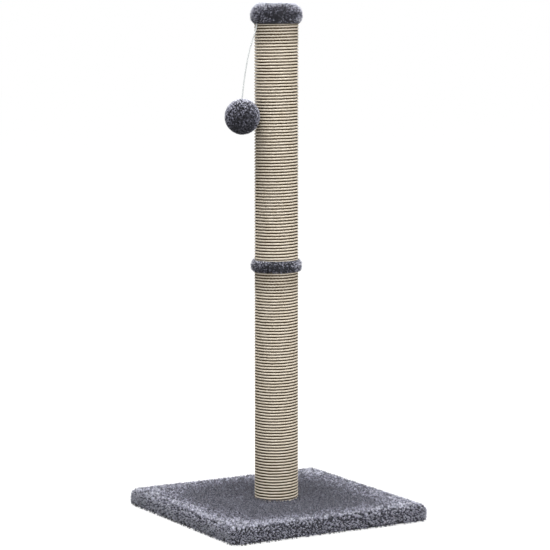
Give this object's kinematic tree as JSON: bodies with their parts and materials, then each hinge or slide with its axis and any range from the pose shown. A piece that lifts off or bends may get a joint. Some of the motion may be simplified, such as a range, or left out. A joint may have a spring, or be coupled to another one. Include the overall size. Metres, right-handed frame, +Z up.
{
  "type": "cat scratching post",
  "caption": "Upright scratching post: square plush base, rope-wound column in two screwed halves, plush collar and cap, and a plush ball swinging on a cord.",
  "frame": {"origin": "on the floor, in the middle of the base's underside", "axes": "+Z up along the post, +X and +Y square to the base's edges; the ball hangs on the -X side"},
  "size_m": [0.35, 0.35, 0.8],
  "materials": {
    "plush": "short cut pile, dark blue-grey, matt",
    "sisal": "twisted plant-fibre rope, pale beige, matt",
    "chipboard": "raw board",
    "paper_tube": "raw spiral-wound paper",
    "pine": "raw wood",
    "zinc_steel": "bright zinc plate",
    "foam": "open-cell foam",
    "cord": "white elastic cord with a fine braided cover"
  },
  "bodies": {
    "stand": {"base_board": "chipboard", "base_plush": "plush", "base_bolt": "zinc_steel", "base_washer": "zinc_steel", "lower_tube": "paper_tube", "lower_foot_plug": "pine", "lower_foot_nut": "zinc_steel", "lower_head_plug": "pine", "lower_head_nut": "zinc_steel", "joint_stud": "zinc_steel", "lower_sisal": "sisal", "collar_plush": "plush", "upper_tube": "paper_tube", "upper_foot_plug": "pine", "upper_foot_nut": "zinc_steel", "upper_head_plug": "pine", "upper_sisal": "sisal", "cap_pad": "foam", "cap_plush": "plush", "cord_tail": "cord", "cord_staple": "zinc_steel"},
    "cord_start": {"cord_first_stretch": "cord"},
    "hanging_cord": {"cord_main_stretch": "cord"},
    "ball": {"ball_core": "foam", "ball_plush": "plush", "ball_cord_end": "cord"}
  },
  "joints": [
    {"name": "cord_side_swing", "type": "hinge", "parent": "stand", "child": "cord_start", "pos_m": [-0.03587, -0.0015, 0.7681], "axis": [-0.9991, -0.0419, 0], "range_deg": [-75, 75]},
    {"name": "cord_out_swing", "type": "hinge", "parent": "cord_start", "child": "hanging_cord", "pos_m": [-0.03683, -0.00154, 0.76422], "axis": [-0.0419, 0.9991, 0], "range_deg": [0, 75]},
    {"name": "ball_spin", "type": "hinge", "parent": "hanging_cord", "child": "ball", "pos_m": [-0.06214, -0.00261, 0.6553], "axis": [0, 0, 1], "continuous": true}
  ]
}
